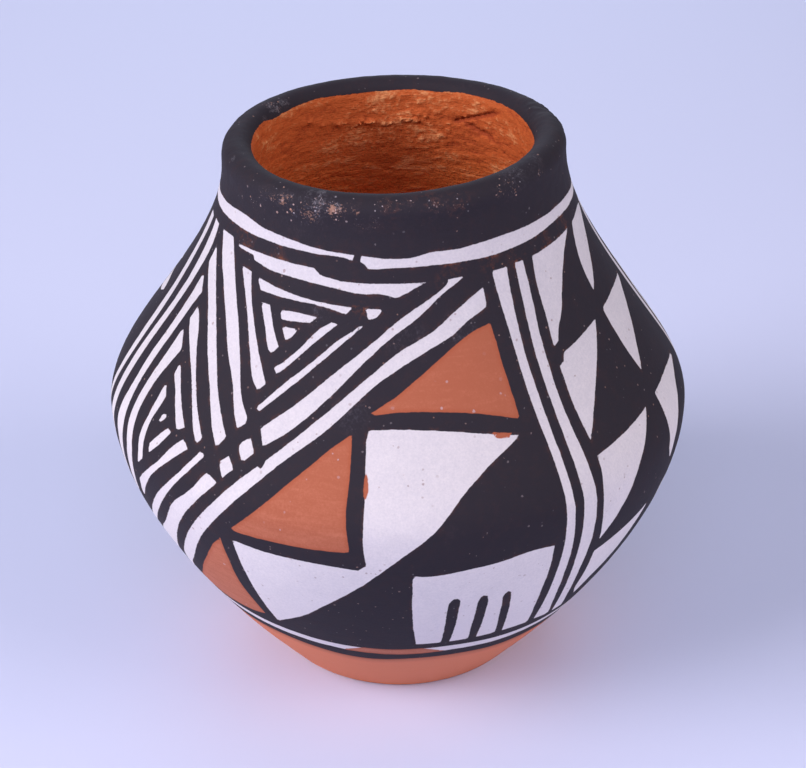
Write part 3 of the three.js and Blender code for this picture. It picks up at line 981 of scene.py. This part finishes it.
def paint_design(mesh):
    """Keeps on the mesh how deep each point lies in what is left white, and in what is orange."""
    spots = surface_spots(mesh)
    turns, heights, spread, climb = spots
    folded = (turns + 90) % 180 - 90
    wander = np.clip((np.abs(turns) - 90) / 15, 0, 1)
    folded = folded + wander * turn_wander * np.sin(np.radians(turns * 3 + heights * 4))
    slide = np.where(turns < -90, left_slide, np.where(turns > 90, right_slide, 0))
    folded = folded + slide * np.clip((150 - np.abs(turns)) / 40, 0, 1)
    drawn_heights = heights + wander * height_wander * np.sin(np.radians(turns * 2 - 40))
    drawn = np.stack([folded, drawn_heights, spread, climb])
    white = np.full(len(turns), -depth_reach)
    orange = np.full(len(turns), -depth_reach)
    laid_on(white, left_stripes + slanting_stripes + upright_stripes + rising_stripes, drawn)
    laid_on(white, nested_triangles + white_steps + right_stripes + wings, drawn)
    laid_on(white, [white_hairline], drawn, depth_in_stroke)
    laid_on(orange, orange_fields, drawn)
    neck_band = np.minimum(height_round(neck_line, turns) - heights,
                           heights - height_round(neck_line_foot, turns))
    belly_band = np.minimum(height_round(belly_line, turns) - heights,
                            heights - height_round(belly_line_foot, turns)) * climb
    white = np.maximum(white, np.maximum(neck_band, belly_band))
    laid_on(white, [back_wing_at_left], spots)
    painted_over(white, comb_teeth + [black_blot], drawn)
    painted_over(white, [neck_break], spots)
    past_left = turns - orange_run_left[0] - (heights - orange_run_left[1]) * orange_run_slant
    before_right = orange_run_right[0] - turns + (orange_run_right[1] - heights) * orange_run_slant
    orange_run = np.minimum(past_left, before_right) * spread
    orange = np.maximum(orange, np.minimum(belly_band + orange_spill, orange_run))
    below_orange_top = height_round(orange_top, turns) - heights
    orange = np.maximum(orange, below_orange_top * climb)
    keep_values(mesh, "white_left", np.clip(white, -depth_reach, depth_reach))
    keep_values(mesh, "orange_laid", np.clip(orange, -depth_reach, depth_reach))
    keep_values(mesh, "underbody", np.clip(below_orange_top / 2, 0, 0.9))
    for title, places in (("worn", worn_places), ("smeared", smeared_places), ("browned", browned_places),
                          ("rubbed_and_sheen", rubbed_and_sheen_places)):
        keep_values(mesh, title, share_near(places, spots))


slip_white = (0.745, 0.685, 0.71, 1)
slip_dusk = (0.555, 0.520, 0.575, 1)
slip_freckle = (0.30, 0.20, 0.20, 1)
black_paint = (0.0205, 0.0160, 0.0245, 1)
thin_brown = (0.13, 0.042, 0.026, 1)
bluish_bloom_and_sheen = (0.085, 0.085, 0.115, 1)
chalk = (0.55, 0.52, 0.60, 1)
chipped_clay = (0.42, 0.22, 0.16, 1)
orange_paint = (0.39, 0.110, 0.058, 1)
orange_pale = (0.51, 0.168, 0.100, 1)
orange_thick = (0.36, 0.080, 0.034, 1)
underbody_orange_bounce_lit = (0.70, 0.222, 0.118, 1)


def specks(bench, place, scale, share):
    """Small specks over a share of the surface, and a chance value for the look of each."""
    cells = bench.node("ShaderNodeTexVoronoi", None, {"Vector": place, "Scale": scale})
    chance = bench.node("ShaderNodeSeparateColor", None, {"Color": cells["Color"]})
    chipped = bench.noise(place, scale * 1.7, 2.0, 0.7) * 0.22
    edge = (0.16 + chance["Green"] * 0.26 + chipped - cells).rising(0.0, 0.10)
    return edge * (share - chance["Red"]).rising(0.0, 0.02), chance["Blue"]


def painted_look(bench, place):
    fine = bench.noise(place, 1900.0, 3.0, 0.6)
    middling = bench.noise(place, 520.0, 2.0)
    broad = bench.noise(place, 110.0, 2.0)
    sand = bench.noise(place, 3600.0, 2.0, 0.7)
    strokes = bench.noise(place * (1.0, 1.0, 8.0), 210.0, 3.0, 0.6, 0.5)
    worn = bench.attribute("worn")
    smeared = bench.attribute("smeared")
    browned = bench.attribute("browned")
    rubbed_and_sheen = bench.attribute("rubbed_and_sheen")
    white_depth = bench.attribute("white_left") + fine * 0.08 + middling * 0.09
    orange_depth = bench.attribute("orange_laid") + fine * 0.05 + middling * 0.10
    white_share = white_depth.rising(-0.05, 0.06)
    orange_share = orange_depth.rising(-0.06, 0.07)

    freckle, freckle_tone = specks(bench, place, 1700.0, 0.05 + broad.rising(0.0, 0.5) * 0.16)
    upper = parts_of(bench, place)["Z"].rising(0.016, 0.064)
    dusk = broad * 0.2 + middling * 0.15 + fine * 0.25 + sand * 0.5 + 0.06 + upper * 0.68
    white = bench.mixed(slip_white, slip_dusk, dusk.most(0.0).least(1.0))
    white = bench.mixed(white, slip_freckle, freckle * (0.20 + freckle_tone * 0.50))

    near_edge = white_depth.rising(-0.5, -0.05)
    patchy = (middling * 0.9 + fine * 0.8 + sand * 0.4).rising(-0.15, 0.6)
    thinness = patchy * (0.05 + near_edge * 0.30 + browned * (0.36 + near_edge * 0.8))
    black = bench.mixed(black_paint, thin_brown, thinness.least(1.0))
    # Bluish bloom from rubbing, and a painted sheen on top of the lip.
    bloom_and_sheen = (broad * 0.3 + middling * 0.4 + fine * 0.5 + sand * 0.5 + 0.1).rising(0.0, 0.7)
    bloom_and_sheen = bloom_and_sheen * (rubbed_and_sheen + worn * 0.35 + broad.rising(0.3, 0.7) * 0.25)
    black = bench.mixed(black, bluish_bloom_and_sheen, bloom_and_sheen.least(1.0) * 0.65)
    flaked = bench.noise(place * (1.0, 1.0, 1.4), 3000.0, 2.0, 0.7, 0.5)
    flakes = (flaked * 1.1 + sand * 0.4 + middling * 0.7 + worn * 0.62 - 0.74).rising(0.0, 0.30)
    film = (strokes * 0.6 + flaked * 0.5 + sand * 0.5 + smeared * 0.6 - 0.30).rising(0.0, 0.9)
    black = bench.mixed(black, chalk, film * smeared.least(1.0) * 0.30)
    chalky = (fine * 0.8 + sand * 0.8 + smeared * 0.3 - worn * 0.3).rising(-0.2, 0.35)
    fallen = bench.mixed(chipped_clay, chalk, chalky)
    black = bench.mixed(black, fallen, flakes * (0.35 + worn * 0.15 + fine * 0.6).least(1.0).most(0.0))
    speck, speck_tone = specks(bench, place, 2300.0, 0.05 + worn * 0.05)
    strength = (0.08 + speck_tone * 0.32 + worn * 0.6).least(1.0)
    black = bench.mixed(black, bench.mixed(chalk, chipped_clay, speck_tone), speck * strength)

    dab, dab_tone = specks(bench, place, 1500.0, 0.07)
    paler = (strokes * 0.45 + fine * 0.25 + sand * 0.45 + 0.60 - upper * 0.55).rising(0.0, 1.0)
    orange = bench.mixed(orange_paint, orange_pale, paler)
    orange = bench.mixed(orange, orange_thick, (1 - orange_depth.rising(0.0, 0.7)) * 0.55)
    orange = bench.mixed(orange, chalk, dab * dab_tone * 0.45)
    # The underbody's own orange slip, painted lighter as painted bounce light from the floor below.
    orange = bench.mixed(orange, underbody_orange_bounce_lit, bench.attribute("underbody"))
    colour = bench.mixed(black, white, white_share)
    colour = bench.mixed(colour, orange, orange_share)
    roughness = 0.80 + fine * 0.05 - white_share * 0.12
    relief = fine * 0.012 + sand * 0.006 + strokes * 0.006 + flakes * worn * 0.03
    relief = relief - white_share * 0.020 - orange_share * 0.010
    return colour, roughness, relief


painted_finish = new_finish("white_slip_painted", painted_look)


coat_pitch = 0.46
fine_coat_pitch = 0.26
hidden_pitch = 4.0
crowded_above = 64


def coat_rows(low, middle, high):
    """The section of a coat between two heights, drawn finer above the middle one."""
    low, middle, high = (along_at_height(height) for height in (low, middle, high))
    return np.concatenate([
        wall_run(low, middle, coat_pitch, 0, dressed=1.0),
        wall_run(middle, high, fine_coat_pitch, 0, dressed=1.0),
        wall_run(high, low, hidden_pitch, coat_thickness),
    ])


white_rows = coat_rows(white_slip_bottom, crowded_above, white_slip_top)
white_slip = turned_piece("white_slip_coat", white_rows, painted_finish)
paint_design(white_slip.data)
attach(white_slip, "root")
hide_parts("white_slip")


# The orange slip: a thin coat of coloured clay, brushed round the foot and the underbody up to
# the black line under the design.
orange_rows = coat_rows(foot_stop[1], 10, white_slip_bottom)
orange_slip = turned_piece("orange_underbody_coat", orange_rows, painted_finish)
paint_design(orange_slip.data)
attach(orange_slip, "root")
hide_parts("orange_underbody_slip")


# The black paint of the neck: one thick matte coat up from the white line, over the lip and to
# the bare clay inside, where its edge is ragged.
rim_rows = np.concatenate([
    wall_run(along_at_height(white_slip_top), outline_length, 0.35, 0, dressed=1.0),
    lip_run(lip_thickness / 2, 0, 180, 20, 1.0, 1.0),
    lip_run(lip_thickness / 2 - coat_thickness, 180, 0, 10, 0, 0),
    wall_run(outline_length, along_at_height(white_slip_top), 3.0, coat_thickness),
])
inner_paint_edge = [
    (-180, 76), (-157, 76), (-144, 76.2), (-128, 76), (-117, 76.0), (-112, 76.3), (-106, 76.4), (-92, 76.3),
    (-60, 76.2), (-20, 76), (20, 76.1), (60, 75.9), (90, 75.5), (101, 75.5), (108, 75.8), (121, 76.1),
    (137, 76.2), (152, 76.2), (163, 76.0), (171, 76.15), (180, 76),
]


def rim_look(bench, place):
    colour, roughness, relief = painted_look(bench, place)
    bare_colour, bare_roughness, bare_relief = bare_look(bench, place)
    ragged = bench.noise(place, 420.0, 3.0, 0.6)
    fringe = bench.noise(place, 1500.0, 2.0, 0.6)
    share = (bench.attribute("bare_left") + ragged * 0.20 + fringe * 0.12).rising(-0.05, 0.05)
    roughness = roughness + (bare_roughness - roughness) * share
    return bench.mixed(colour, bare_colour, share), roughness, relief + (bare_relief - relief - 0.03) * share


rim_paint = turned_piece("black_rim_coat", rim_rows, new_finish("black_rim_paint_worn", rim_look))
paint_design(rim_paint.data)
rim_section = values_of(rim_paint.data, "section", 3) / mm
bare_left = height_round(inner_paint_edge, surface_spots(rim_paint.data)[0]) - rim_section[:, 2]
keep_values(rim_paint.data, "bare_left", np.where(rim_section[:, 0] < lip_middle, bare_left, -depth_reach))
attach(rim_paint, "root")
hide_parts("black_rim_paint")
